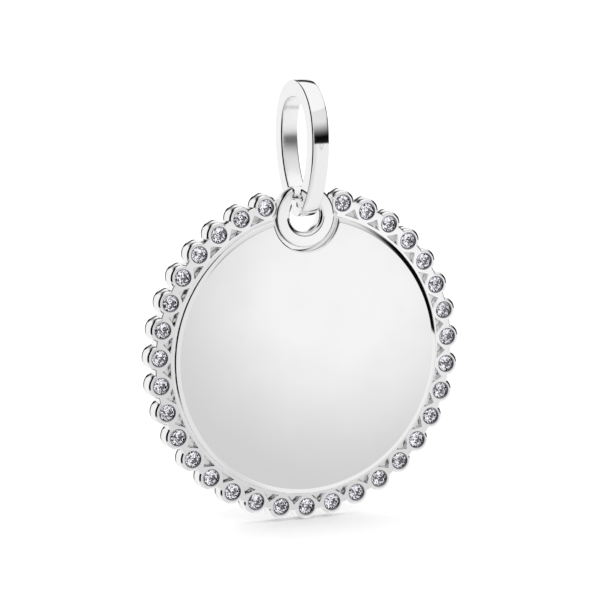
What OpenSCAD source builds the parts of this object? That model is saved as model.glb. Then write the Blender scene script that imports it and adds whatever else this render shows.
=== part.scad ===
// Disc pendant: a raised polished disc in a border of round stone bezels, on an oval bail.
// Millimetres, +Z up, the disc's face toward -Y and the disc centred on X.
// The origin is the top of the bail's opening, where a chain passes through along X.

/* [Disc] */
// Diameter of the raised disc
disc_d = 16.8; // [14:0.1:22]
// Height of the disc's face above the border
disc_rise = 0.35; // [0.2:0.01:0.6]
// Radius of the disc's rounded edge
disc_round = 0.33; // [0.1:0.01:0.34]

/* [Border] */
// Thickness of the border, front to back
border_t = 1.0; // [0.9:0.05:1.6]
// Strip of border between the disc and the bezels
strip_w = 0.112; // [0.05:0.005:0.3]
// Wall of a bezel round its stone
bezel_wall = 0.2; // [0.14:0.01:0.3]
// Least space between neighbouring bezels
bezel_space = 0.16; // [0.08:0.01:0.4]
// Chamfer on a bezel's front edge
bezel_chamfer = 0.05; // [0.02:0.01:0.1]
// Reach of the border outside the circle of stone centres
web_out = 0.25; // [0.1:0.01:0.4]

/* [Pockets] */
// Distance from the disc to a pocket's base
pocket_strip = 0.17; // [0.08:0.01:0.3]
// Distance from the circle of stone centres in to a pocket's point
pocket_point_in = 0.157; // [0.08:0.001:0.3]
// Width of a pocket's base
pocket_w = 0.98; // [0.6:0.01:1.1]
// Depth of a pocket
pocket_depth = 0.32; // [0.15:0.01:0.5]
// Size of a pocket's floor as a share of its mouth
pocket_floor_share = 0.55; // [0.3:0.05:0.9]

/* [Stones] */
// Diameter of a stone
stone_d = 1.03; // [0.8:0.01:1.2]
// Clearance between a stone and its bore and seat
stone_gap = 0.03; // [0.02:0.005:0.06]
// Depth of a stone's table below the bezel's face
stone_recess = 0.12; // [0.03:0.01:0.15]
// Thickness of a stone's girdle
girdle_t = 0.03; // [0.02:0.005:0.05]

/* [Loop] */
// Diameter of the hole in the loop
loop_hole_d = 1.9; // [1.7:0.05:2.2]
// Width of the loop's band round its hole
loop_band = 0.9; // [0.6:0.05:1.1]
// Thickness of the loop, front to back
loop_t = 1.0; // [0.8:0.05:1.3]
// Rounding of the edges of the loop's hole
loop_hole_round = 0.25; // [0.1:0.01:0.3]
// Rounding of the loop's outer edges
loop_rim_round = 0.12; // [0.05:0.01:0.2]
// Distance of the loop's centre inside the circle of stone centres
loop_in = 0.967; // [0.7:0.01:1.2]
// Distance of the loop's middle in front of the border's middle
loop_forward = 0.15; // [0:0.01:0.2]
// Overlap of the loop's rim with the bezels on either side
loop_join = 0.05; // [0.02:0.01:0.1]
// Width of the groove round the loop
groove_w = 0.23; // [0.1:0.01:0.3]
// Depth of the groove below the border's face
groove_depth = 0.2; // [0.1:0.01:0.4]

/* [Seat] */
// Diameter of the round seat across the top of the loop
seat_d = 0.76; // [0.6:0.02:0.9]
// Clearance between the seat and the bail
seat_gap = 0.05; // [0.03:0.01:0.1]
// Clearance on each side of the bail in the seat
seat_side_gap = 0.06; // [0.04:0.01:0.12]
// Radius of the scoops at the ends of the seat
scoop_r = 0.34; // [0.2:0.01:0.4]

/* [Bail] */
// Height of the bail over its outer surface
bail_h = 8.2; // [7:0.1:10]
// Outer radius of the bail's top
bail_top_r = 2.86; // [2.6:0.02:3.6]
// Outer radius of the bail's lower end
bail_low_r = 1.66; // [1.5:0.02:1.9]
// Outer radius of the bail's long sides
bail_side_r = 6; // [5.5:0.1:9]
// Width of the bail's band
bail_w = 1.02; // [0.8:0.02:1.2]
// Thickness of the bail's band at its crown
bail_wall = 1.05; // [0.9:0.01:1.1]
// Height of the crown across the band's outer surface
bail_crown = 0.08; // [0.05:0.01:0.25]
// Rounding of the band's inner edges
bail_inner_round = 0.1; // [0.04:0.01:0.2]

/* [Hidden] */
$fn = 64;

// Proportions of a round brilliant as shares of its radius, with heights above the girdle.
TABLE_SHARE = 0.56;
STAR_SHARE = 0.80;
CROWN_SHARE = 0.32;
PAVILION_SHARE = 0.86;
LOWER_SHARE = 0.30;
MAINS = 8;

// Steps of the bail's mesh across its crown, round its inner edges and along its arcs.
CROWN_STEPS = 6;
CORNER_STEPS = 2;
TOP_STEPS = 30;
SIDE_STEPS = 12;
LOW_STEPS = 14;

// Lengths that let one cut pass clean through the surface of another solid.
past = 0.5;
tip_r = 0.04;

disc_r = disc_d / 2;
stone_r = stone_d / 2;
bore_r = stone_r + stone_gap;
bezel_r = bore_r + bezel_wall;
pitch_r = disc_r + strip_w + bezel_r;
web_r = pitch_r + web_out;
loop_hole_r = loop_hole_d / 2;
loop_r = loop_hole_r + loop_band;
seat_r = seat_d / 2;

// Heights on the bail and the loop, measured from the origin.
bail_top_z = bail_wall - bail_top_r;
bail_low_z = bail_wall - bail_h + bail_low_r;
seat_z = 2 * bail_wall - bail_h + seat_gap + seat_r;
loop_z = seat_z - loop_hole_r - loop_band / 2;
loop_up = pitch_r - loop_in;
disc_z = loop_z - loop_up;

// Depths in the disc's own frame, where +Z is toward the viewer and zero is the loop's middle.
border_front = border_t / 2 - loop_forward;
border_back = -border_t / 2 - loop_forward;
disc_front = border_front + disc_rise;
table_depth = border_front - stone_recess;
girdle_depth = table_depth - CROWN_SHARE * stone_r;
girdle_under = girdle_depth - girdle_t;

// Places round the border, and those that the loop takes at the top.
places = floor(360 / (2 * asin((2 * bezel_r + bezel_space) / (2 * pitch_r))));
step = 360 / places;
first_reach = loop_r + bezel_r - loop_join;
first_angle = acos((pitch_r ^ 2 + loop_up ^ 2 - first_reach ^ 2) / (2 * pitch_r * loop_up));
loop_places = ceil(2 * first_angle / step - 1.05);
stones = places - loop_places;

function stone_angle(k) = ((loop_places + 1) / 2 + k - 1) * step;
function stone_name(k) = str("stone_", k < 10 ? "0" : "", k);

// Turns the disc's own frame to the part's frame, with its centre below the origin.
module on_disc() {
    translate([0, 0, disc_z]) rotate([90, 0, 0]) children();
}

// Puts a child at one of the places, with its own +Y pointing away from the disc's centre.
module at_angle(angle) {
    rotate([0, 0, -angle]) translate([0, pitch_r, 0]) children();
}

// Turns a shape made round +Z so that it is round +X.
module round_x() {
    rotate([90, 0, 90]) children();
}

// The raised disc with its rounded edge.
module raised_disc() {
    centre = disc_r - disc_round;
    rotate_extrude() {
        translate([0, border_back]) square([disc_r, disc_front - disc_round - border_back]);
        translate([0, border_back]) square([centre, disc_front - border_back]);
        translate([centre, disc_front - disc_round]) circle(disc_round);
    }
}

// The flat plate that carries the bezels.
module border_plate() {
    translate([0, 0, border_back]) cylinder(r = web_r, h = border_t);
}

// One triangular pocket between two bezels, wider at its mouth than at its floor.
module pocket() {
    base = disc_r + pocket_strip - pitch_r;
    point = -pocket_point_in;
    middle = (2 * base + point) / 3;
    mouth = [[-pocket_w / 2, base], [pocket_w / 2, base], [0, point]];
    slope = (1 - pocket_floor_share) / pocket_depth;
    function ring(share, z) = [for (p = mouth) [p.x * share, middle + (p.y - middle) * share, z]];
    polyhedron(
        points = concat(
            ring(pocket_floor_share, border_front - pocket_depth),
            ring(1 + slope * past, border_front + past)
        ),
        faces = [[0, 1, 2], [5, 4, 3], [0, 3, 4, 1], [1, 4, 5, 2], [2, 5, 3, 0]]
    );
}

// One bezel before its bore is drilled.
module bezel() {
    shoulder = border_front - bezel_chamfer;
    rim_r = bezel_r - bezel_chamfer;
    rotate_extrude() polygon([
        [0, border_back],
        [bezel_r, border_back],
        [bezel_r, shoulder],
        [rim_r, border_front],
        [0, border_front]
    ]);
}

// The bore of one bezel with the cone that seats the stone.
module bore() {
    seat_top = girdle_under - stone_gap;
    seat_low = seat_top - (bore_r - tip_r) * PAVILION_SHARE;
    mouth = border_front + past;
    rotate_extrude() polygon([
        [0, seat_low],
        [tip_r, seat_low],
        [bore_r, seat_top],
        [bore_r, mouth],
        [0, mouth]
    ]);
}

// The loop: a flat ring with a well rounded hole.
module loop() {
    inner = loop_hole_r + loop_hole_round;
    outer = loop_r - loop_rim_round;
    inner_h = loop_t - 2 * loop_hole_round;
    outer_h = loop_t - 2 * loop_rim_round;
    translate([0, loop_up, 0]) rotate_extrude() {
        translate([inner, -loop_t / 2]) square([outer - inner, loop_t]);
        translate([loop_hole_r, -inner_h / 2]) square([loop_hole_round, inner_h]);
        translate([outer, -outer_h / 2]) square([loop_rim_round, outer_h]);
        for (side = [-1, 1]) {
            translate([inner, side * inner_h / 2]) circle(loop_hole_round);
            translate([outer, side * outer_h / 2]) circle(loop_rim_round);
        }
    }
}

// The round notch that the loop stands in, and the clear way through the plate behind it.
module loop_notch() {
    groove_floor = border_front - groove_depth;
    clear_r = loop_r - loop_rim_round;
    translate([0, loop_up, groove_floor]) cylinder(r = loop_r + groove_w, h = disc_front + past - groove_floor);
    translate([0, loop_up, border_back - past]) cylinder(r = clear_r, h = border_t + 2 * past);
}

// What is cut from the loop's top to leave a round seat that the bail can swing about.
module seat_cut() {
    half = bail_w / 2 + seat_side_gap;
    reach = seat_r + loop_t / 2 + seat_gap;
    translate([0, 0, seat_z]) round_x() rotate_extrude() {
        translate([seat_r, -half]) square([reach - seat_r, 2 * half]);
        for (side = [-1, 1]) translate([seat_r + scoop_r, side * half]) circle(scoop_r);
    }
}

// The cast setting: disc, border, bezels and loop in one piece of metal.
module setting() {
    color("silver") difference() {
        on_disc() difference() {
            union() {
                difference() {
                    union() {
                        border_plate();
                        raised_disc();
                    }
                    for (k = [1:stones - 1]) at_angle(stone_angle(k) + step / 2) pocket();
                    loop_notch();
                }
                for (k = [1:stones]) at_angle(stone_angle(k)) bezel();
                loop();
            }
            for (k = [1:stones]) at_angle(stone_angle(k)) bore();
        }
        seat_cut();
    }
}

// A round brilliant: a table, 8 star, 8 kite and 16 upper facets, a girdle and 24 facets below.
module brilliant() {
    turn = 360 / MAINS;
    girdle_sides = 2 * MAINS;
    crown_h = CROWN_SHARE * stone_r;
    pavilion_h = PAVILION_SHARE * stone_r;
    star_h = crown_h * (1 - STAR_SHARE * cos(turn / 2)) / (1 - TABLE_SHARE);
    lower_h = pavilion_h * (1 - LOWER_SHARE * cos(turn / 2));
    function spot(r, angle, z) = [r * sin(angle), r * cos(angle), z];
    table = [for (i = [0:MAINS - 1]) spot(TABLE_SHARE * stone_r, i * turn, crown_h)];
    stars = [for (i = [0:MAINS - 1]) spot(STAR_SHARE * stone_r, (i + 0.5) * turn, star_h)];
    top = [for (i = [0:girdle_sides - 1]) spot(stone_r, i * turn / 2, 0)];
    under = [for (p = top) [p.x, p.y, -girdle_t]];
    lower = [for (i = [0:MAINS - 1]) spot(LOWER_SHARE * stone_r, (i + 0.5) * turn, -girdle_t - lower_h)];
    culet = [0, 0, -girdle_t - pavilion_h];

    // Where each ring of points starts in the joined list.
    s = MAINS;
    t = s + MAINS;
    u = t + girdle_sides;
    l = u + girdle_sides;
    c = l + MAINS;
    function next(i) = (i + 1) % MAINS;
    function after(i) = (i + 1) % girdle_sides;
    polyhedron(
        points = concat(table, stars, top, under, lower, [culet]),
        faces = concat(
            [[for (i = [0:MAINS - 1]) i]],
            [for (i = [0:MAINS - 1]) [i, s + i, next(i)]],
            [for (i = [0:MAINS - 1]) [next(i), s + i, t + 2 * next(i)]],
            [for (i = [0:MAINS - 1]) [next(i), t + 2 * next(i), s + next(i)]],
            [for (i = [0:MAINS - 1]) [s + i, t + 2 * i, t + 2 * i + 1]],
            [for (i = [0:MAINS - 1]) [s + i, t + 2 * i + 1, t + 2 * next(i)]],
            [for (i = [0:girdle_sides - 1]) [t + i, u + i, u + after(i)]],
            [for (i = [0:girdle_sides - 1]) [t + i, u + after(i), t + after(i)]],
            [for (i = [0:MAINS - 1]) [u + 2 * i, l + i, u + 2 * i + 1]],
            [for (i = [0:MAINS - 1]) [u + 2 * i + 1, l + i, u + 2 * next(i)]],
            [for (i = [0:MAINS - 1]) [u + 2 * next(i), l + i, c]],
            [for (i = [0:MAINS - 1]) [u + 2 * next(i), c, l + next(i)]]
        )
    );
}

// One stone in its bezel.
module stone(k) {
    color("white") on_disc() at_angle(stone_angle(k)) translate([0, 0, girdle_depth]) brilliant();
}

// The section of the bail's band: [depth below the crown, place across the band] for each point.
function band_section() =
    let (
        crown_r = ((bail_w / 2) ^ 2 + bail_crown ^ 2) / (2 * bail_crown),
        half = bail_w / 2 - bail_inner_round,
        deep = bail_wall - bail_inner_round,
        crown = [for (i = [0:CROWN_STEPS]) bail_w * (i / CROWN_STEPS - 0.5)],
        corner = [for (i = [0:CORNER_STEPS]) 90 * i / CORNER_STEPS]
    )
    concat(
        [for (x = crown) [crown_r - sqrt(crown_r ^ 2 - x ^ 2), x]],
        [for (a = corner) [deep + bail_inner_round * sin(a), half + bail_inner_round * cos(a)]],
        [for (a = corner) [deep + bail_inner_round * cos(a), -half - bail_inner_round * sin(a)]]
    );

// Stations along an arc: [centre's y, centre's z, outer radius, angle above +Y] for each one.
function arc_stations(y, z, r, from, to, count) =
    [for (i = [0:count - 1]) [y, z, r, from + (to - from) * i / count]];

// The bail: a band swept round an oval of four tangent arcs, wider at the top than below.
module bail() {
    rise = bail_top_z - bail_low_z;
    to_top = bail_side_r - bail_top_r;
    to_low = bail_side_r - bail_low_r;
    side_up = (to_low ^ 2 - to_top ^ 2 + rise ^ 2) / (2 * rise);
    side_in = sqrt(to_low ^ 2 - side_up ^ 2);
    side_z = bail_low_z + side_up;
    upper = atan2(bail_top_z - side_z, side_in);
    lower = atan2(bail_low_z - side_z, side_in);
    stations = concat(
        arc_stations(0, bail_top_z, bail_top_r, upper, 180 - upper, TOP_STEPS),
        arc_stations(side_in, side_z, bail_side_r, 180 - upper, 180 - lower, SIDE_STEPS),
        arc_stations(0, bail_low_z, bail_low_r, 180 - lower, 360 + lower, LOW_STEPS),
        arc_stations(-side_in, side_z, bail_side_r, lower, upper, SIDE_STEPS)
    );
    section = band_section();
    n = len(section);
    m = len(stations);
    points = [
        for (at = stations, spot = section)
            let (r = at[2] - spot.x)
            [spot.y, at[0] + r * cos(at[3]), at[1] + r * sin(at[3])]
    ];
    color("silver") polyhedron(
        points = points,
        faces = [
            for (i = [0:m - 1], j = [0:n - 1])
                let (a = i * n, b = (i + 1) % m * n, k = (j + 1) % n)
                [a + j, a + k, b + k, b + j]
        ]
    );
}

setting();
bail();
for (k = [1:stones]) stone(k);
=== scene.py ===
"""Looks for a disc pendant: a polished disc in a border of set stones, hung on an oval bail.

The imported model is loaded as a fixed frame. The cast setting and the bail are modelled again here with
smooth, finely rounded metal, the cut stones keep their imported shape, and a pale studio surrounds them.
"""

from __future__ import annotations

import logging
import math
from dataclasses import dataclass, field
from enum import Enum

import bpy
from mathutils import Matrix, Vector


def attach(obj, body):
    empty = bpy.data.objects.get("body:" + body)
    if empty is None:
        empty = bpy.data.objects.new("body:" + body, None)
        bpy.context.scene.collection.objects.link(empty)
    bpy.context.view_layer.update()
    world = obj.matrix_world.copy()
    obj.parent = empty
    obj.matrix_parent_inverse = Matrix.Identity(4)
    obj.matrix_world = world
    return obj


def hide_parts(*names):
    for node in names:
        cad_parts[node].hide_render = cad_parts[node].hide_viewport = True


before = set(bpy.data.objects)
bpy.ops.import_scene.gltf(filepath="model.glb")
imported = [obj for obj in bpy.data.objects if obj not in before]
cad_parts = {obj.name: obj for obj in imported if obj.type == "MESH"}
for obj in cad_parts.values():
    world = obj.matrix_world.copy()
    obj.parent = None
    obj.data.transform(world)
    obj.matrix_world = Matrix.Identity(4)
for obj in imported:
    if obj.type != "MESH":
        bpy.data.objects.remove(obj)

LOG = logging.getLogger("disc_pendant")
MM = 0.001
WHITE = (1.0, 1.0, 1.0, 1.0)
Point2 = tuple[float, float]
Point3 = tuple[float, float, float]


class Slot(Enum):
    """The record's material slot for silver, which this script doesn't use."""

    SILVER = "silver"


class Body(Enum):
    """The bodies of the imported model."""

    BAIL = "bail"
    PENDANT = "pendant"


class Change(Enum):
    """What a boolean does with its tool."""

    ADD = "UNION"
    CUT = "DIFFERENCE"


def arc(centre: Point2, radius: float, start: float, end: float, steps: int) -> list[Point2]:
    """Gives points along an arc.

    Args:
        centre: the arc's centre.
        radius: its radius.
        start: the first angle, in degrees.
        end: the last angle, in degrees.
        steps: how many chords the arc has.

    Returns:
        The points, ends included.
    """
    turns = [math.radians(start + (end - start) * i / steps) for i in range(steps + 1)]
    return [(centre[0] + radius * math.cos(t), centre[1] + radius * math.sin(t)) for t in turns]


class Bench:
    """Mesh work by operators, in millimetres. A finished piece is taken to metres at the end."""

    # Size of the plane that is merged into a line's first point
    SEED = 0.1
    # Points closer than this are merged
    DOUBLE = 0.0005
    # A face counts as square to an axis if its normal's part along that axis is larger than this
    SQUARE = 0.999999

    @staticmethod
    def clear() -> None:
        """Deselects everything, so that an operator acts on one piece alone."""
        bpy.ops.object.select_all(action="DESELECT")

    @staticmethod
    def only(piece: bpy.types.Object) -> None:
        """Makes one piece the selected and active one.

        Args:
            piece: the piece.
        """
        Bench.clear()
        piece.select_set(True)
        bpy.context.view_layer.objects.active = piece

    @staticmethod
    def chain(name: str, points: list[Point3], closed: bool) -> bpy.types.Object:
        """Draws a line of edges, as a profile that is later spun or filled.

        Args:
            name: the new object's name.
            points: the line's points.
            closed: whether the last point is joined to the first.

        Returns:
            The object, left in edit mode with all of it selected.
        """
        Bench.clear()
        bpy.ops.mesh.primitive_plane_add(size=Bench.SEED, location=(0, 0, 0))
        piece = bpy.context.object
        piece.name = name
        piece.data.name = name
        bpy.ops.object.mode_set(mode="EDIT")
        bpy.ops.mesh.select_all(action="SELECT")
        bpy.ops.mesh.merge(type="CENTER")
        bpy.ops.transform.translate(value=points[0])
        for here, there in zip(points, points[1:]):
            step = tuple(b - a for a, b in zip(here, there))
            bpy.ops.mesh.extrude_region_move(TRANSFORM_OT_translate={"value": step})
        if closed:
            bpy.ops.mesh.select_all(action="DESELECT")
            bpy.ops.object.mode_set(mode="OBJECT")
            for end in (0, len(points) - 1):
                piece.data.vertices[end].select = True
            bpy.ops.object.mode_set(mode="EDIT")
            bpy.ops.mesh.edge_face_add()
        bpy.ops.mesh.select_all(action="SELECT")
        return piece

    @staticmethod
    def close_up(piece: bpy.types.Object) -> None:
        """Merges doubles, turns faces outwards and leaves edit mode.

        Args:
            piece: the piece, in edit mode.
        """
        bpy.ops.mesh.select_all(action="SELECT")
        bpy.ops.mesh.remove_doubles(threshold=Bench.DOUBLE)
        bpy.ops.mesh.normals_make_consistent(inside=False)
        bpy.ops.object.mode_set(mode="OBJECT")
        piece.select_set(False)

    @staticmethod
    def turned(name: str, profile: list[Point2], closed: bool, steps: int) -> bpy.types.Object:
        """Turns a profile round the disc's axis, which is Y.

        Args:
            name: the new object's name.
            profile: radius and height toward the viewer of each point.
            closed: whether the profile is a ring of its own, clear of the axis.
            steps: how many steps the full turn has.

        Returns:
            The turned solid, centred on the Y axis.
        """
        piece = Bench.chain(name, [(r, -d, 0.0) for r, d in profile], closed)
        bpy.ops.mesh.spin(steps=steps, angle=math.tau, center=(0, 0, 0), axis=(0, 1, 0))
        Bench.close_up(piece)
        return piece

    @staticmethod
    def copy(piece: bpy.types.Object, name: str) -> bpy.types.Object:
        """Copies a piece with a mesh of its own.

        Args:
            piece: the piece.
            name: the copy's name.

        Returns:
            The copy, in the scene.
        """
        twin = piece.copy()
        twin.data = piece.data.copy()
        twin.name = name
        bpy.context.scene.collection.objects.link(twin)
        return twin

    @staticmethod
    def place(piece: bpy.types.Object, at: Point3, turn: float = 0.0) -> None:
        """Moves a piece's mesh and turns it clockwise about Y, as seen from the front.

        Args:
            piece: the piece.
            at: how far it moves.
            turn: how far it turns, in radians.
        """
        Bench.only(piece)
        piece.rotation_euler = (0.0, turn, 0.0)
        piece.location = at
        bpy.ops.object.transform_apply(location=True, rotation=True, scale=True)
        piece.select_set(False)

    @staticmethod
    def join(pieces: list[bpy.types.Object], name: str) -> bpy.types.Object:
        """Joins several loose pieces into one object.

        Args:
            pieces: the loose pieces; they are used up.
            name: the joined object's name.

        Returns:
            The joined object.
        """
        Bench.only(pieces[0])
        for piece in pieces:
            piece.select_set(True)
        bpy.ops.object.join()
        joined = bpy.context.object
        joined.name = name
        joined.data.name = name
        joined.select_set(False)
        return joined

    @staticmethod
    def boolean(piece: bpy.types.Object, tool: bpy.types.Object, change: Change) -> None:
        """Adds or cuts a tool and removes it.

        Args:
            piece: the piece that is changed.
            tool: the other solid; it is used up.
            change: whether the tool is added or cut.
        """
        Bench.only(piece)
        cut = piece.modifiers.new("cut", "BOOLEAN")
        cut.object = tool
        cut.operation = change.value
        cut.solver = "MANIFOLD"
        cut.material_mode = "TRANSFER"
        bpy.ops.object.modifier_apply(modifier=cut.name)
        bpy.data.objects.remove(tool)
        piece.select_set(False)

    @staticmethod
    def coat(piece: bpy.types.Object, finish: Finish) -> bpy.types.Object:
        """Gives a piece its finish and returns the piece."""
        piece.data.materials.append(finish.material())
        return piece

    @staticmethod
    def to_metres(piece: bpy.types.Object) -> None:
        """Takes a piece from millimetres to metres in its mesh.

        Args:
            piece: the finished piece.
        """
        Bench.only(piece)
        piece.scale = (MM, MM, MM)
        bpy.ops.object.transform_apply(location=True, rotation=True, scale=True)
        piece.select_set(False)

    @staticmethod
    def polish(piece: bpy.types.Object, angle: float) -> None:
        """Smooths the shading, but keeps faces that are square to an axis flat to their edges.

        Args:
            piece: the finished piece.
            angle: the sharpest angle that is still shaded smooth, in degrees.
        """
        Bench.only(piece)
        bpy.ops.object.mode_set(mode="EDIT")
        bpy.ops.mesh.select_mode(type="FACE")
        bpy.ops.mesh.select_all(action="DESELECT")
        bpy.ops.object.mode_set(mode="OBJECT")
        for face in piece.data.polygons:
            face.select = max(abs(value) for value in face.normal) > Bench.SQUARE
        bpy.ops.object.mode_set(mode="EDIT")
        bpy.ops.mesh.region_to_loop()
        bpy.ops.mesh.mark_sharp()
        bpy.ops.mesh.select_mode(type="VERT")
        bpy.ops.object.mode_set(mode="OBJECT")
        bpy.ops.object.shade_smooth_by_angle(angle=math.radians(angle), keep_sharp_edges=True)
        piece.select_set(False)


@dataclass(frozen=True)
class Edge:
    """A soft edge: where a value starts to change, where it ends, and what comes out at both."""

    start: float
    end: float
    values: Point2 = (0.0, 1.0)


class Nodes:
    """Short ways to add shader nodes to one tree."""

    def __init__(self, tree: bpy.types.NodeTree) -> None:
        """Keeps the tree that the nodes go into."""
        self.tree = tree

    def add(self, kind: str, **values: object) -> bpy.types.Node:
        """Adds a node and sets its properties.

        Args:
            kind: the node's type.
            values: its properties.

        Returns:
            The node.
        """
        node = self.tree.nodes.new(kind)
        for name, value in values.items():
            setattr(node, name, value)
        return node

    def feed(self, socket: bpy.types.NodeSocket, source: object) -> None:
        """Links a socket to another one, or sets its value.

        Args:
            socket: the input.
            source: the output that is linked to it, or its value.
        """
        if isinstance(source, bpy.types.NodeSocket):
            self.tree.links.new(source, socket)
        else:
            socket.default_value = source

    def math(self, operation: str, first: object, second: object) -> bpy.types.NodeSocket:
        """Adds a Math node.

        Args:
            operation: what it does.
            first: its first value.
            second: its second value.

        Returns:
            Its result.
        """
        node = self.add("ShaderNodeMath", operation=operation)
        self.feed(node.inputs[0], first)
        self.feed(node.inputs[1], second)
        return node.outputs[0]

    def times(self, first: object, *others: object) -> bpy.types.NodeSocket:
        """Multiplies all values.

        Args:
            first: the first value.
            others: the other values.

        Returns:
            Their product.
        """
        for other in others:
            first = self.math("MULTIPLY", first, other)
        return first

    def brightest(self, first: object, *others: object) -> bpy.types.NodeSocket:
        """Picks the largest of all values.

        Args:
            first: the first value.
            others: the other values.

        Returns:
            The largest.
        """
        for other in others:
            first = self.math("MAXIMUM", first, other)
        return first

    def mix(self, share: object, first: object, second: object) -> bpy.types.NodeSocket:
        """Goes from one value to another.

        Args:
            share: how far to go, from 0 to 1.
            first: the value at 0.
            second: the value at 1.

        Returns:
            The value between them.
        """
        node = self.add("ShaderNodeMix", data_type="FLOAT")
        self.feed(node.inputs["Factor"], share)
        self.feed(node.inputs["A"], first)
        self.feed(node.inputs["B"], second)
        return node.outputs["Result"]

    def ease(self, value: object, edge: Edge) -> bpy.types.NodeSocket:
        """Adds a smooth step over a soft edge.

        Args:
            value: what is compared with the edge.
            edge: the soft edge.

        Returns:
            The step's result.
        """
        node = self.add("ShaderNodeMapRange", interpolation_type="SMOOTHSTEP")
        self.feed(node.inputs["Value"], value)
        node.inputs["From Min"].default_value = edge.start
        node.inputs["From Max"].default_value = edge.end
        node.inputs["To Min"].default_value = edge.values[0]
        node.inputs["To Max"].default_value = edge.values[1]
        return node.outputs["Result"]

    def noise(self, place: object, scale: object, detail: float) -> bpy.types.NodeSocket:
        """Adds a noise.

        Args:
            place: where it is read.
            scale: how fine it is.
            detail: how many finer layers it has.

        Returns:
            Its value.
        """
        node = self.add("ShaderNodeTexNoise")
        node.inputs["Detail"].default_value = detail
        self.feed(node.inputs["Vector"], place)
        self.feed(node.inputs["Scale"], scale)
        return node.outputs["Fac"]

    def distance(self, place: object, spot: Point3) -> bpy.types.NodeSocket:
        """Measures how far a place is from a spot.

        Args:
            place: the place.
            spot: the spot.

        Returns:
            The distance.
        """
        node = self.add("ShaderNodeVectorMath", operation="DISTANCE")
        self.feed(node.inputs[0], place)
        self.feed(node.inputs[1], spot)
        return node.outputs["Value"]


class Micro:
    """The shader group for fine surface detail that every finish uses with its own values."""

    NAME = "fine_surface"
    NUMBERS = {"Scale": 1000.0, "Rough Low": 0.03, "Rough High": 0.08, "Shade": 0.02}
    BASE = (0.9, 0.9, 0.9, 1.0)
    SHADE = (0.45, 0.45, 0.47, 1.0)
    SHADE_EDGE = Edge(0.35, 0.65)
    ROUGH_SPAN = (0.3, 0.7)
    CLOUD_DETAIL = 4.0
    # The bump's noise is this much finer than the clouds of roughness and shade
    FINER = 12.0
    FINE_DETAIL = 2.0

    @staticmethod
    def group() -> bpy.types.NodeTree:
        """Builds the group once.

        Returns:
            The group, with a roughness, a tint and a height for a bump.
        """
        made = bpy.data.node_groups.get(Micro.NAME)
        if made:
            return made
        made = bpy.data.node_groups.new(Micro.NAME, "ShaderNodeTree")
        face = made.interface
        for name, value in Micro.NUMBERS.items():
            face.new_socket(name, in_out="INPUT", socket_type="NodeSocketFloat").default_value = value
        face.new_socket("Base", in_out="INPUT", socket_type="NodeSocketColor").default_value = Micro.BASE
        face.new_socket("Roughness", in_out="OUTPUT", socket_type="NodeSocketFloat")
        face.new_socket("Colour", in_out="OUTPUT", socket_type="NodeSocketColor")
        face.new_socket("Height", in_out="OUTPUT", socket_type="NodeSocketFloat")
        nodes = Nodes(made)
        given = nodes.add("NodeGroupInput")
        out = nodes.add("NodeGroupOutput")
        place = nodes.add("ShaderNodeTexCoord").outputs["Object"]
        cloud = nodes.noise(place, given.outputs["Scale"], Micro.CLOUD_DETAIL)
        fine = nodes.noise(place, nodes.times(given.outputs["Scale"], Micro.FINER), Micro.FINE_DETAIL)
        rough = nodes.add("ShaderNodeMapRange")
        nodes.feed(rough.inputs["Value"], cloud)
        nodes.feed(rough.inputs["From Min"], Micro.ROUGH_SPAN[0])
        nodes.feed(rough.inputs["From Max"], Micro.ROUGH_SPAN[1])
        nodes.feed(rough.inputs["To Min"], given.outputs["Rough Low"])
        nodes.feed(rough.inputs["To Max"], given.outputs["Rough High"])
        tint = nodes.add("ShaderNodeMix", data_type="RGBA")
        shaded = nodes.times(nodes.ease(cloud, Micro.SHADE_EDGE), given.outputs["Shade"])
        nodes.feed(tint.inputs["Factor"], shaded)
        nodes.feed(tint.inputs["A"], given.outputs["Base"])
        nodes.feed(tint.inputs["B"], Micro.SHADE)
        nodes.feed(out.inputs["Roughness"], rough.outputs["Result"])
        nodes.feed(out.inputs["Colour"], tint.outputs["Result"])
        nodes.feed(out.inputs["Height"], fine)
        return made


@dataclass(frozen=True)
class Finish:
    """What every finish has: a colour, a range of roughness, and the scale and depth of its clouds."""

    name: str
    base: Point3
    rough: Point2
    grain: float
    shade: float

    def material(self) -> bpy.types.Material:
        """Builds the finish once.

        Returns:
            Its material.
        """
        made = bpy.data.materials.get(self.name)
        if made:
            return made
        made = bpy.data.materials.new(self.name)
        made.use_nodes = True
        nodes = Nodes(made.node_tree)
        shader = made.node_tree.nodes["Principled BSDF"]
        detail = nodes.add("ShaderNodeGroup", node_tree=Micro.group())
        detail.inputs["Scale"].default_value = self.grain
        detail.inputs["Rough Low"].default_value = self.rough[0]
        detail.inputs["Rough High"].default_value = self.rough[1]
        detail.inputs["Shade"].default_value = self.shade
        detail.inputs["Base"].default_value = (*self.base, 1.0)
        nodes.feed(shader.inputs["Base Color"], detail.outputs["Colour"])
        nodes.feed(shader.inputs["Roughness"], detail.outputs["Roughness"])
        self.dress(nodes, shader, detail)
        return made

    def dress(self, nodes: Nodes, shader: bpy.types.Node, detail: bpy.types.Node) -> None:
        """Sets what one kind of finish has of its own.

        Args:
            nodes: the material's nodes.
            shader: its Principled BSDF.
            detail: its group of fine surface detail.
        """
        raise NotImplementedError


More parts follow.
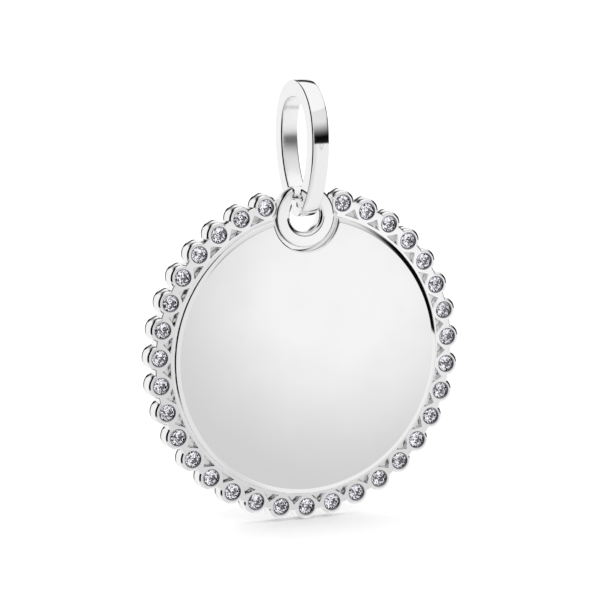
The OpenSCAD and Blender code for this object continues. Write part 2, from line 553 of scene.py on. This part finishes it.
@dataclass(frozen=True)
class Metal(Finish):
    """A silver finish with a fine bump, whose depth is in metres."""

    bump: float
    depth: float = 2e-6

    def dress(self, nodes: Nodes, shader: bpy.types.Node, detail: bpy.types.Node) -> None:
        """Makes it metal and gives it its bump.

        Args:
            nodes: the material's nodes.
            shader: its Principled BSDF.
            detail: its group of fine surface detail.
        """
        shader.inputs["Metallic"].default_value = 1.0
        bump = nodes.add("ShaderNodeBump")
        bump.inputs["Strength"].default_value = self.bump
        bump.inputs["Distance"].default_value = self.depth
        nodes.feed(bump.inputs["Height"], detail.outputs["Height"])
        nodes.feed(shader.inputs["Normal"], bump.outputs["Normal"])


@dataclass(frozen=True)
class CutStone(Finish):
    """A clear cut stone."""

    ior: float

    def dress(self, nodes: Nodes, shader: bpy.types.Node, detail: bpy.types.Node) -> None:
        """Makes it clear.

        Args:
            nodes: the material's nodes.
            shader: its Principled BSDF.
            detail: its group of fine surface detail.
        """
        shader.inputs["Metallic"].default_value = 0.0
        shader.inputs["Transmission Weight"].default_value = 1.0
        shader.inputs["IOR"].default_value = self.ior


POLISHED = Metal("polished_silver", (0.93, 0.93, 0.935), (0.02, 0.05), 350.0, 0.03, 0.02)
BORDER = Metal("border_silver", (0.985, 0.985, 0.99), (0.03, 0.06), 500.0, 0.02, 0.02)
BAND = Metal("band_silver", (0.93, 0.93, 0.935), (0.05, 0.075), 350.0, 0.03, 0.02)
SATIN = Metal("satin_silver", (0.96, 0.96, 0.965), (0.2, 0.28), 600.0, 0.03, 0.04)
CAST = Metal("cast_silver", (0.88, 0.88, 0.885), (0.07, 0.15), 1500.0, 0.12, 0.3)
# The bores' cones under the stones: a rougher drilled finish, with a base colour far darker than silver
# that is painted shade
DRILLED_PAINTED_SHADE = Metal("drilled_silver_painted_shade", (0.28, 0.28, 0.3), (0.12, 0.22), 1500.0, 0.1, 0.2)
BRILLIANT = CutStone("clear_brilliant", (0.94, 0.93, 1.0), (0.0, 0.01), 900.0, 0.03, 2.16)


@dataclass
class Setting:
    """The cast setting: raised disc, border, bezels and loop. Millimetres, heights toward the viewer."""

    # The disc's centre, the casting's back, how far cutters reach past its faces, and its shading
    centre_z: float = -15.36
    back: float = -0.65
    past: float = 0.5
    smooth_angle: float = 32.0
    # The raised disc, whose rings keep its flat face's shading even
    disc_front: float = 0.70
    disc_r: float = 8.4
    disc_round: float = 0.11
    disc_inset: float = 0.02
    dome_r: float = 1.4
    dome_slope: Point2 = (12.0, 22.0)
    face_rings: tuple[float, ...] = (7.9, 7.5, 6.5, 5.0, 3.5, 2.0, 1.0, 0.0)
    # The border's plate
    border_front: float = 0.35
    web_r: float = 9.507
    web_inner_r: float = 7.6
    web_round: float = 0.06
    # The places round the border, the bezels there, and their bores with a cone under each stone
    pitch_r: float = 9.257
    places: int = 35
    loop_places: int = 2
    bezel_r: float = 0.745
    rim_round: float = 0.14
    foot_edge: float = 0.02
    flare: float = 0.035
    flare_h: float = 0.3
    plain_h: float = 0.3
    bore_r: float = 0.545
    bore_tip_r: float = 0.04
    bore_round: float = 0.06
    mouth_r: float = 0.465
    lip: Point2 = (0.2, 0.26)
    cone_top: float = -0.0948
    cone_slope: float = 0.86
    # The loop, its notch and the seat for the bail
    loop_up: float = 8.29
    loop_hole_r: float = 0.95
    loop_r: float = 1.85
    loop_t: float = 1.0
    loop_hole_round: float = 0.25
    loop_rim_round: float = 0.12
    groove_w: float = 0.23
    groove_depth: float = 0.2
    notch_round: float = 0.08
    seat_z: float = -5.67
    seat_r: float = 0.38
    seat_half: float = 0.57
    scoop_r: float = 0.34
    # The triangular pockets
    pocket_strip: float = 0.17
    pocket_point_in: float = 0.157
    pocket_w: float = 0.98
    pocket_depth: float = 0.32
    pocket_floor_share: float = 0.55
    # Steps of the full turns and of the arcs
    disc_steps: int = 288
    loop_steps: int = 144
    seat_steps: int = 96
    bezel_steps: int = 72
    scoop_steps: int = 12
    edge_steps: int = 8
    loop_rim_steps: int = 6
    rim_steps: int = 5
    soft_steps: int = 4

    @property
    def step(self) -> float:
        """The angle between places, in radians."""
        return math.tau / self.places

    def angles(self) -> list[float]:
        """The angle of each stone, clockwise from the top."""
        first = (self.loop_places + 1) / 2
        return [(first + k) * self.step for k in range(self.places - self.loop_places)]

    def disc(self) -> bpy.types.Object:
        """Turns the raised disc, which falls away gently to a rounded edge.

        Returns:
            The disc, centred on the Y axis.
        """
        low, steep = self.dome_slope
        edge = self.disc_round
        first, last = math.radians(low), math.radians(steep)
        start = self.disc_r - edge * (1 - math.sin(last)) - self.dome_r * (math.sin(last) - math.sin(first))
        hub = (start - self.dome_r * math.sin(first), self.disc_front - self.dome_r * math.cos(first))
        fall = arc(hub, self.dome_r, 90 - steep, 90 - low, self.edge_steps)
        corner = (self.disc_r - edge, fall[0][1] - edge * math.cos(last))
        base = self.back + self.disc_inset
        profile = [(0.0, base), (self.disc_r, base)]
        profile += arc(corner, edge, 0, 90 - steep, self.edge_steps)[:-1]
        profile += fall
        profile += [(r, self.disc_front) for r in self.face_rings]
        return Bench.turned("disc", profile, False, self.disc_steps)

    def plate(self) -> bpy.types.Object:
        """Turns the border's plate as a flat ring with softened edges.

        Returns:
            The plate, centred on the Y axis.
        """
        soft = self.web_round
        outer = self.web_r - soft
        profile = [(self.web_inner_r, self.back), (outer, self.back)]
        profile += arc((outer, self.back + soft), soft, -90, 0, self.soft_steps)[1:]
        profile += arc((outer, self.border_front - soft), soft, 0, 90, self.soft_steps)
        profile += [(self.web_inner_r, self.border_front)]
        return Bench.turned("plate", profile, True, self.disc_steps)

    def bezel(self) -> bpy.types.Object:
        """Turns one solid bezel with a rounded rim and a slightly flared foot.

        Returns:
            The bezel, centred on the Y axis.
        """
        r, soft, edge = self.bezel_r, self.rim_round, self.foot_edge
        foot_r = r + self.flare
        profile = [(0.0, self.back), (foot_r - edge, self.back), (foot_r, self.back + edge)]
        for i in range(1, self.rim_steps + 1):
            share = i / self.rim_steps
            up = self.back + edge + (self.flare_h - edge) * share
            profile.append((r + self.flare * (1 - share) ** 2, up))
        profile += [(r, self.back + self.flare_h + self.plain_h)]
        profile += arc((r - soft, self.border_front - soft), soft, 0, 90, self.rim_steps)
        profile += [(self.mouth_r, self.border_front), (0.0, self.border_front)]
        return Bench.turned("bezel", profile, False, self.bezel_steps)

    def bore(self) -> bpy.types.Object:
        """Turns a bore's cutter: the stone's conical seat, its girdle's room, a lip and a soft mouth.

        Returns:
            The cutter, centred on the Y axis.
        """
        soft, tip = self.bore_round, self.bore_tip_r
        low = self.cone_top - (self.bore_r - tip) * self.cone_slope
        top = self.border_front + self.past
        lip_top, lip_low = (self.border_front - down for down in self.lip)
        profile = [(0.0, low), (tip, low), (self.bore_r, self.cone_top)]
        profile += [(self.bore_r, lip_low), (self.mouth_r, lip_top)]
        profile += arc((self.mouth_r + soft, self.border_front - soft), soft, 180, 90, self.soft_steps)
        profile += [(self.mouth_r + soft, top), (0.0, top)]
        return Bench.turned("bore", profile, False, self.bezel_steps)

    def loop(self) -> bpy.types.Object:
        """Turns the loop's flat ring with its well rounded hole.

        Returns:
            The loop, in its place above the disc's centre.
        """
        half = self.loop_t / 2
        inner, outer = self.loop_hole_round, self.loop_rim_round
        profile = arc((self.loop_hole_r + inner, inner - half), inner, 270, 180, self.edge_steps)
        profile += arc((self.loop_hole_r + inner, half - inner), inner, 180, 90, self.edge_steps)
        profile += arc((self.loop_r - outer, half - outer), outer, 90, 0, self.loop_rim_steps)
        profile += arc((self.loop_r - outer, outer - half), outer, 0, -90, self.loop_rim_steps)
        ring = Bench.turned("loop", profile, True, self.loop_steps)
        Bench.place(ring, (0.0, 0.0, self.loop_up))
        return ring

    def notch(self) -> bpy.types.Object:
        """Turns the cutter for the notch round the loop and the clear way behind it.

        Returns:
            The cutter, in its place above the disc's centre.
        """
        soft = self.notch_round
        floor = self.border_front - self.groove_depth
        behind, before = self.back - self.past, self.disc_front + self.past
        wide = self.loop_r + self.groove_w
        clear = self.loop_r - self.loop_rim_round
        profile = [(0.0, behind), (clear, behind), (clear, floor), (wide, floor)]
        profile += arc((wide + soft, self.disc_front - soft), soft, 180, 90, self.soft_steps)
        profile += [(wide + soft, before), (0.0, before)]
        cutter = Bench.turned("notch", profile, False, self.loop_steps)
        Bench.place(cutter, (0.0, 0.0, self.loop_up))
        return cutter

    def pocket(self) -> bpy.types.Object:
        """Draws one triangular pocket at its floor and draws it out, wider at its mouth.

        Returns:
            The cutter, as at the top of the border and at its pitch circle.
        """
        base = self.disc_r + self.pocket_strip - self.pitch_r
        point = -self.pocket_point_in
        middle = (2 * base + point) / 3
        share = self.pocket_floor_share
        floor = self.border_front - self.pocket_depth
        mouth = [(-self.pocket_w / 2, base), (self.pocket_w / 2, base), (0.0, point)]
        points = [(x * share, -floor, middle + (z - middle) * share) for x, z in mouth]
        cutter = Bench.chain("pocket", points, True)
        bpy.ops.mesh.edge_face_add()
        out = (0.0, -self.pocket_depth - self.past, 0.0)
        grow = (1 + (1 - share) / self.pocket_depth * self.past) / share
        bpy.ops.mesh.extrude_region_move(TRANSFORM_OT_translate={"value": out})
        bpy.ops.transform.resize(value=(grow, 1.0, grow), center_override=(0.0, 0.0, middle))
        Bench.close_up(cutter)
        return cutter

    def seat(self) -> bpy.types.Object:
        """Turns the cutter that leaves a round seat across the loop's top.

        Returns:
            The cutter, in its place above the disc's centre.
        """
        low, half, r = self.seat_r, self.seat_half, self.scoop_r
        profile = arc((low + r, half), r, 180, 0, self.scoop_steps)
        profile += arc((low + r, -half), r, 0, -180, self.scoop_steps)
        cutter = Bench.chain("seat", [(x, 0.0, radius) for radius, x in profile], True)
        bpy.ops.mesh.spin(steps=self.seat_steps, angle=math.tau, center=(0, 0, 0), axis=(1, 0, 0))
        Bench.close_up(cutter)
        Bench.place(cutter, (0.0, 0.0, self.seat_z - self.centre_z))
        return cutter

    def round_the_border(self, first: bpy.types.Object, angles: list[float], name: str) -> bpy.types.Object:
        """Copies a piece to each angle round the border and joins the copies.

        Args:
            first: the piece as modelled at the axis; it is used up.
            angles: where the copies go.
            name: the joined object's name.

        Returns:
            All the copies as one object.
        """
        made = []
        for i, angle in enumerate(angles):
            twin = Bench.copy(first, f"{name}_{i}")
            Bench.place(twin, (self.pitch_r * math.sin(angle), 0.0, self.pitch_r * math.cos(angle)), angle)
            made.append(twin)
        bpy.data.objects.remove(first)
        return Bench.join(made, name)

    def build(self) -> bpy.types.Object:
        """Builds the whole setting.

        Returns:
            The setting, in metres and in its place.
        """
        angles = self.angles()
        between = [angle + self.step / 2 for angle in angles[:-1]]
        pockets = self.round_the_border(self.pocket(), between, "pockets")
        bezels = self.round_the_border(self.bezel(), angles, "bezels")
        bores = self.round_the_border(self.bore(), angles, "bores")
        piece = Bench.coat(self.plate(), BORDER)
        Bench.boolean(piece, Bench.coat(self.disc(), POLISHED), Change.ADD)
        Bench.boolean(piece, Bench.coat(pockets, CAST), Change.CUT)
        Bench.boolean(piece, Bench.coat(self.notch(), POLISHED), Change.CUT)
        Bench.boolean(piece, Bench.coat(bezels, POLISHED), Change.ADD)
        Bench.boolean(piece, Bench.coat(self.loop(), POLISHED), Change.ADD)
        # The bores are cut with the dark drilled finish, so the cones under the stones carry painted shade
        Bench.boolean(piece, Bench.coat(bores, DRILLED_PAINTED_SHADE), Change.CUT)
        Bench.boolean(piece, Bench.coat(self.seat(), POLISHED), Change.CUT)
        piece.name = "pendant_setting"
        piece.data.name = "pendant_setting"
        Bench.place(piece, (0.0, 0.0, self.centre_z))
        Bench.to_metres(piece)
        Bench.polish(piece, self.smooth_angle)
        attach(piece, Body.PENDANT.value)
        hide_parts("setting")
        return piece


@dataclass
class Bail:
    """The bail: a crowned band swept round an oval of four tangent arcs. Millimetres and degrees."""

    # What cosine squared and sine to the fifth power add up to over half a turn
    COSINE_SUM = math.pi / 2
    SINE_SUM = 16 / 15

    # The band's section
    wall: float = 1.05
    width: float = 1.06
    crown: float = 0.05
    outer_round: float = 0.09
    inner_round: float = 0.1
    # The oval, whose arcs are blended over an angle where they meet
    height: float = 8.2
    top_r: float = 2.86
    low_r: float = 1.66
    side_r: float = 6.0
    blend: float = 9.0
    fit_rounds: int = 40
    # Steps of half the oval and of the section's arcs
    steps: int = 200
    crown_steps: int = 14
    round_steps: int = 6
    # A face whose normal goes sideways by less than this isn't one of the band's flat sides
    side_facing: float = 0.5
    smooth_angle: float = 34.0

    def section(self) -> list[Point2]:
        """Works out the band's section, crown first.

        Returns:
            Place across the band and height above its inner face, for each point.
        """
        half, outer, inner = self.width / 2, self.outer_round, self.inner_round
        crown_r = (half**2 + self.crown**2) / (2 * self.crown)
        lean = math.degrees(math.asin((half - outer) / crown_r))
        over = arc((0.0, self.wall - crown_r), crown_r, 90 + lean, 90 - lean, self.crown_steps)
        tall = over[-1][1] - outer * math.cos(math.radians(lean))
        soft = arc((half - outer, tall), outer, 90 - lean, 0, self.round_steps)
        right = arc((half - inner, inner), inner, 0, -90, self.round_steps)
        left = arc((inner - half, inner), inner, -90, -180, self.round_steps)
        other = arc((outer - half, tall), outer, 180, 90 + lean, self.round_steps)
        return over + soft[1:] + right + left + other[:-1]

    def passed(self, angle: float, joint: float) -> float:
        """How far an angle is past a joint between arcs: 0 well before it and 1 well past it."""
        return 0.5 + 0.5 * math.tanh((angle - joint) / self.blend)

    def radii(self) -> list[float]:
        """Works out the oval's outer radius, eased where the four arcs meet.

        Returns:
            The radius at each step from the top to the lower end.
        """
        top_z = self.wall - self.top_r
        low_z = self.wall - self.height + self.low_r
        rise = top_z - low_z
        to_top, to_low = self.side_r - self.top_r, self.side_r - self.low_r
        side_up = (to_low**2 - to_top**2 + rise**2) / (2 * rise)
        side_in = math.sqrt(to_low**2 - side_up**2)
        side_z = low_z + side_up
        first = 90 - math.degrees(math.atan2(top_z - side_z, side_in))
        last = 90 - math.degrees(math.atan2(low_z - side_z, side_in))
        found = []
        for i in range(self.steps):
            angle = 180 * (i + 0.5) / self.steps
            r = self.top_r + to_top * self.passed(angle, first) - to_low * self.passed(angle, last)
            found.append(r)
        return found

    def fitted(self) -> list[float]:
        """Adjusts the radii so that the oval closes on itself at its full height.

        Returns:
            The radius at each step from the top to the lower end.
        """
        radii = self.radii()
        turn = math.pi / self.steps
        angles = [turn * (i + 0.5) for i in range(self.steps)]
        for _ in range(self.fit_rounds):
            aside = sum(r * math.cos(a) for r, a in zip(radii, angles)) * turn
            short = self.height - sum(r * math.sin(a) for r, a in zip(radii, angles)) * turn
            lean, lift = aside / self.COSINE_SUM, short / self.SINE_SUM
            radii = [r - lean * math.cos(a) + lift * math.sin(a) ** 4 for r, a in zip(radii, angles)]
        return radii

    def build(self) -> bpy.types.Object:
        """Sweeps the band.

        Returns:
            The bail, in metres and in its place.
        """
        points = [(across, 0.0, up) for across, up in self.section()]
        piece = Bench.chain("bail_band", points, True)
        half = self.fitted()
        turn = math.pi / self.steps
        spot = Vector((0.0, self.wall))
        for i, r in enumerate(half + half[::-1]):
            angle = turn * i
            centre = spot - (r * Vector((math.sin(angle), math.cos(angle))))
            bpy.ops.mesh.spin(steps=1, angle=turn, center=(0.0, centre[0], centre[1]), axis=(1, 0, 0))
            spot = centre + r * Vector((math.sin(angle + turn), math.cos(angle + turn)))
        LOG.info("the band closes to %.4f mm", (spot - Vector((0.0, self.wall))).length)
        Bench.close_up(piece)
        Bench.coat(Bench.coat(piece, BAND), SATIN)
        middle = Vector((0.0, 0.0, self.wall - self.height / 2))
        for face in piece.data.polygons:
            inward = face.normal.dot(middle - face.center) > 0
            face.material_index = int(inward and abs(face.normal.x) < self.side_facing)
        Bench.to_metres(piece)
        Bench.polish(piece, self.smooth_angle)
        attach(piece, Body.BAIL.value)
        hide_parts("bail")
        return piece


@dataclass
class Stones:
    """The cut stones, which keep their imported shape."""

    prefix: str = "stone_"
    names: list[str] = field(default_factory=list)

    def build(self) -> None:
        """Gives every stone its clear finish."""
        for name, node in sorted(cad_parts.items()):
            if name.startswith(self.prefix):
                node.data.materials.clear()
                node.data.materials.append(BRILLIANT.material())
                self.names.append(name)


@dataclass
class Panels:
    """How bright the room is by direction. Its parts go right (x), away from the viewer (y) and up (z)."""

    nodes: Nodes
    place: bpy.types.NodeSocket
    dark: float = 0.003
    # The floor, with a bright spot in a grey ring, which the disc's face shows, and a gap at the left
    spot_at: Point3 = (0.3855, -0.908, -0.157)
    spot: Edge = Edge(0.013, 0.053, (0.98, 0.68))
    ring: Edge = Edge(0.06, 0.11, (0.0, 0.24))
    floor_far: Edge = Edge(-0.115, -0.135)
    floor_left: Edge = Edge(0.25, 0.1, (1.0, 0.82))
    gap_right: Edge = Edge(-0.42, -0.52)
    gap_low: Edge = Edge(-0.55, -0.4)
    # The front wall, its strip at the left and its upper corner at the right
    front_far: Edge = Edge(0.2, 0.0)
    front_low: Edge = Edge(-0.01, 0.37)
    front_left: Edge = Edge(-0.52, -0.42, (0.0, 0.82))
    front_right: Edge = Edge(0.72, 0.6)
    strip_right: Edge = Edge(0.1, -0.02)
    strip_far: Edge = Edge(-0.6, -0.72)
    corner_low: Edge = Edge(0.3, 0.45)
    corner_far: Edge = Edge(-0.4, -0.5)
    # The ceiling, the back wall and a round lamp at the right
    ceiling_low: Edge = Edge(0.56, 0.68)
    ceiling_left: Edge = Edge(-0.4, -0.2)
    back_near: Edge = Edge(0.7, 0.82, (0.0, 0.95))
    back_top: Edge = Edge(0.45, 0.33)
    lamp_at: Point3 = (0.99, 0.03, -0.1)
    lamp: Edge = Edge(0.32, 0.16, (0.0, 0.8))

    def __post_init__(self) -> None:
        """Splits the direction into its parts."""
        parts = self.nodes.add("ShaderNodeSeparateXYZ")
        self.nodes.feed(parts.inputs[0], self.place)
        self.x, self.y, self.z = parts.outputs

    def floor(self) -> bpy.types.NodeSocket:
        """Paints the floor.

        Returns:
            Its brightness.
        """
        nodes = self.nodes
        away = nodes.distance(self.place, self.spot_at)
        light = nodes.math("ADD", nodes.ease(away, self.spot), nodes.ease(away, self.ring))
        light = nodes.times(light, nodes.ease(self.x, self.floor_left), nodes.ease(self.z, self.floor_far))
        gap = nodes.times(nodes.ease(self.x, self.gap_right), nodes.ease(self.z, self.gap_low))
        return nodes.times(light, nodes.math("SUBTRACT", 1.0, gap))

    def front(self) -> bpy.types.NodeSocket:
        """Paints the front wall, its strip and its corner.

        Returns:
            Their brightness.
        """
        nodes = self.nodes
        wall = nodes.times(nodes.ease(self.y, self.front_far), nodes.ease(self.z, self.front_low))
        strip = nodes.times(nodes.ease(self.x, self.strip_right), nodes.ease(self.y, self.strip_far))
        corner = nodes.times(nodes.ease(self.z, self.corner_low), nodes.ease(self.y, self.corner_far))
        wall = nodes.times(wall, nodes.brightest(nodes.ease(self.x, self.front_right), corner))
        return nodes.times(nodes.brightest(wall, strip), nodes.ease(self.x, self.front_left))

    def light(self) -> bpy.types.NodeSocket:
        """Paints all panels and the dark between them.

        Returns:
            The brightness.
        """
        nodes = self.nodes
        ceiling = nodes.times(nodes.ease(self.z, self.ceiling_low), nodes.ease(self.x, self.ceiling_left))
        back = nodes.times(nodes.ease(self.y, self.back_near), nodes.ease(self.z, self.back_top))
        lamp = nodes.ease(nodes.distance(self.place, self.lamp_at), self.lamp)
        return nodes.brightest(self.floor(), self.front(), ceiling, back, lamp, self.dark)


@dataclass
class Studio:
    """A pale floor in a bright room with dark gaps between its panels, as for photographing silver."""

    floor_z: float = -25.40
    floor_size: float = 4000.0
    floor_cells: int = 4
    floor_colour: tuple[float, ...] = (0.92, 0.92, 0.925, 1.0)
    floor_rough: float = 0.7
    floor_gloss: float = 0.1
    # How bright the room is to the floor, and to the lens beyond the floor
    floor_light: float = 1.42
    backdrop: float = 1.0
    # What light that leaves a stone meets: many small panels, so that its facets sparkle
    sparkle_scale: float = 7.0
    sparkle: Edge = Edge(0.41, 0.48, (0.0, 1.35))

    def floor(self) -> bpy.types.Object:
        """Lays the pale floor just under the pendant.

        Returns:
            The floor.
        """
        Bench.clear()
        cells, size = self.floor_cells, self.floor_size * MM
        bpy.ops.mesh.primitive_grid_add(x_subdivisions=cells, y_subdivisions=cells, size=size)
        floor = bpy.context.object
        floor.name = "floor"
        floor.location = (0.0, 0.0, self.floor_z * MM)
        paint = bpy.data.materials.new("pale_floor")
        paint.use_nodes = True
        shader = paint.node_tree.nodes["Principled BSDF"]
        shader.inputs["Base Color"].default_value = self.floor_colour
        shader.inputs["Roughness"].default_value = self.floor_rough
        shader.inputs["Specular IOR Level"].default_value = self.floor_gloss
        floor.data.materials.append(paint)
        floor.visible_glossy = False
        floor.visible_transmission = False
        return floor

    def world(self) -> None:
        """Paints what the metal and the stones show, what lights the floor and what the lens sees."""
        world = bpy.data.worlds.new("studio")
        bpy.context.scene.world = world
        world.use_nodes = True
        world.cycles.sampling_method = "NONE"
        world.node_tree.nodes.clear()
        nodes = Nodes(world.node_tree)
        place = nodes.add("ShaderNodeTexCoord").outputs["Generated"]
        path = nodes.add("ShaderNodeLightPath").outputs
        sparkle = nodes.ease(nodes.noise(place, self.sparkle_scale, 0.0), self.sparkle)
        light = nodes.mix(path["Is Transmission Ray"], Panels(nodes, place).light(), sparkle)
        light = nodes.mix(path["Is Diffuse Ray"], light, self.floor_light)
        light = nodes.mix(path["Is Camera Ray"], light, self.backdrop)
        glow = nodes.add("ShaderNodeBackground")
        nodes.feed(glow.inputs["Color"], WHITE)
        nodes.feed(glow.inputs["Strength"], light)
        out = nodes.add("ShaderNodeOutputWorld")
        nodes.feed(out.inputs["Surface"], glow.outputs["Background"])


@dataclass
class Lens:
    """The camera at the photograph's viewing angle. Millimetres and degrees, its clipping in metres."""

    place: Point3 = (-85.2, -206.0, 23.9)
    target: Point3 = (0.0, -0.35, -15.36)
    focal: float = 228.06
    sensor: float = 36.0
    shift: Point2 = (-0.0096, 0.0905)
    roll: float = -0.39
    clip: Point2 = (0.001, 10.0)

    def build(self) -> bpy.types.Object:
        """Sets the camera up.

        Returns:
            The camera.
        """
        data = bpy.data.cameras.new("camera")
        data.lens = self.focal
        data.sensor_width = self.sensor
        data.shift_x, data.shift_y = self.shift
        data.clip_start, data.clip_end = self.clip
        camera = bpy.data.objects.new("camera", data)
        bpy.context.scene.collection.objects.link(camera)
        place = Vector(self.place) * MM
        aim = (Vector(self.target) * MM - place).to_track_quat("-Z", "Y")
        camera.location = place
        camera.rotation_euler = aim.to_euler()
        camera.rotation_euler.rotate_axis("Z", math.radians(self.roll))
        bpy.context.scene.camera = camera
        bpy.context.scene.view_settings.view_transform = "Standard"
        return camera


def main() -> None:
    logging.basicConfig(level=logging.INFO, format="%(message)s")
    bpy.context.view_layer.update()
    Lens().build()
    studio = Studio()
    studio.floor()
    studio.world()
    setting = Setting().build()
    LOG.info("%s: %d faces", setting.name, len(setting.data.polygons))
    bail = Bail().build()
    LOG.info("%s: %d faces", bail.name, len(bail.data.polygons))
    stones = Stones()
    stones.build()
    LOG.info("%d stones", len(stones.names))


if __name__ == "__main__":
    main()
